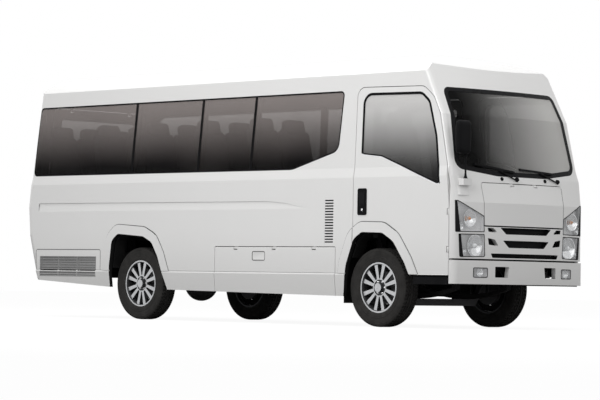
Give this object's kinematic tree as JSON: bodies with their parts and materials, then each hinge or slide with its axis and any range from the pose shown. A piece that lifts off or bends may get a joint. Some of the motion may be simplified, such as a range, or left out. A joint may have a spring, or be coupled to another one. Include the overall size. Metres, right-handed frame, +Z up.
{
  "type": "minibus",
  "caption": "Cab-over minibus on a ladder frame, with seats, tinted windows, hinged doors, hatch, front lid and service flap, steered front wheels and alloy rims.",
  "frame": {"origin": "on the road, below the middle of the bus", "axes": "+X forwards, +Y to the left, +Z up"},
  "size_m": [6.3498, 1.806, 2.545],
  "materials": {
    "body_paint": "gloss",
    "tinted_glass": "gloss",
    "clear_lamp": "gloss",
    "red_lamp": "gloss",
    "black_plastic": "matte",
    "black_steel": "satin",
    "cast_iron": "matte",
    "bare_steel": "satin",
    "floor_panel": "matte",
    "seat_fabric": "matte",
    "tyre": "matte",
    "alloy": "satin"
  },
  "bodies": {
    "body": {"side_right": "body_paint", "side_left": "body_paint", "roof": "body_paint", "front_cap": "body_paint", "cab_front": "body_paint", "grille": "body_paint", "grille_insert": "black_plastic", "rear_wall": "body_paint", "rear_bumper": "body_paint", "vent_panel": "body_paint", "windshield": "tinted_glass", "side_glass_right": "tinted_glass", "side_glass_left": "tinted_glass", "headlamps": "clear_lamp", "tail_lamps": "red_lamp", "front_bumper": "body_paint", "fog_lamps": "clear_lamp", "chassis_frame": "black_steel", "front_axle": "cast_iron", "rear_axle": "cast_iron", "leaf_springs": "black_steel", "engine_block": "cast_iron", "propeller_shaft": "black_steel", "fuel_tank": "black_plastic", "exhaust": "bare_steel", "floor": "floor_panel", "arch_liners": "black_plastic", "cab_steps": "black_plastic", "dashboard": "black_plastic", "steering_wheel": "black_plastic", "seats": "seat_fabric", "mirror_right": "black_plastic", "wipers": "black_plastic"},
    "front_lid": {"front_lid": "body_paint"},
    "hatch": {"hatch": "body_paint", "hatch_glass": "tinted_glass"},
    "cab_door_right": {"cab_door_right": "body_paint", "cab_door_glass_right": "tinted_glass", "handle_cab_right": "black_plastic"},
    "cab_door_left": {"cab_door_left": "body_paint", "cab_door_glass_left": "tinted_glass", "handle_cab_left": "black_plastic"},
    "passenger_door": {"passenger_door": "body_paint", "passenger_door_glass": "tinted_glass", "handle_passenger": "black_plastic"},
    "service_flap": {"service_flap": "body_paint"},
    "knuckle_right": {"knuckle_right": "cast_iron"},
    "knuckle_left": {"knuckle_left": "cast_iron"},
    "wheel_front_right": {"tyre_front_right": "tyre", "rim_front_right": "alloy"},
    "wheel_front_left": {"tyre_front_left": "tyre", "rim_front_left": "alloy"},
    "wheel_rear_right": {"tyre_rear_right": "tyre", "rim_rear_right": "alloy"},
    "wheel_rear_left": {"tyre_rear_left": "tyre", "rim_rear_left": "alloy"}
  },
  "joints": [
    {"name": "steer_right", "type": "hinge", "parent": "body", "child": "knuckle_right", "pos_m": [2.075, -0.6, 0.365], "axis": [0, 0, 1], "range_deg": [-30, 30]},
    {"name": "steer_left", "type": "hinge", "parent": "body", "child": "knuckle_left", "pos_m": [2.075, 0.6, 0.365], "axis": [0, 0, 1], "range_deg": [-30, 30]},
    {"name": "spin_front_right", "type": "hinge", "parent": "knuckle_right", "child": "wheel_front_right", "pos_m": [2.075, -0.75, 0.365], "axis": [0, 1, 0], "continuous": true},
    {"name": "spin_front_left", "type": "hinge", "parent": "knuckle_left", "child": "wheel_front_left", "pos_m": [2.075, 0.75, 0.365], "axis": [0, 1, 0], "continuous": true},
    {"name": "spin_rear_right", "type": "hinge", "parent": "body", "child": "wheel_rear_right", "pos_m": [-1.325, -0.75, 0.365], "axis": [0, 1, 0], "continuous": true},
    {"name": "spin_rear_left", "type": "hinge", "parent": "body", "child": "wheel_rear_left", "pos_m": [-1.325, 0.75, 0.365], "axis": [0, 1, 0], "continuous": true},
    {"name": "cab_door_right_hinge", "type": "hinge", "parent": "body", "child": "cab_door_right", "pos_m": [3.008, -0.883, 0.89], "axis": [0, 0, 1], "range_deg": [0, 70]},
    {"name": "cab_door_left_hinge", "type": "hinge", "parent": "body", "child": "cab_door_left", "pos_m": [3.008, 0.883, 0.89], "axis": [0, 0, -1], "range_deg": [0, 70]},
    {"name": "passenger_door_hinge", "type": "hinge", "parent": "body", "child": "passenger_door", "pos_m": [1.558, 0.883, 0.945], "axis": [0, 0, -1], "range_deg": [0, 85]},
    {"name": "service_flap_hinge", "type": "hinge", "parent": "body", "child": "service_flap", "pos_m": [0.721, -0.883, 0.725], "axis": [-1, 0, 0], "range_deg": [0, 90]},
    {"name": "front_lid_hinge", "type": "hinge", "parent": "body", "child": "front_lid", "pos_m": [3.10321, 0, 1.318], "axis": [0, -1, 0], "range_deg": [0, 60]},
    {"name": "hatch_hinge", "type": "hinge", "parent": "body", "child": "hatch", "pos_m": [-3.03353, 0, 2.20162], "axis": [0, 1, 0], "range_deg": [0, 80]}
  ],
  "couplings": [
    {"joint": "steer_left", "follows": "steer_right", "ratio": 1}
  ]
}
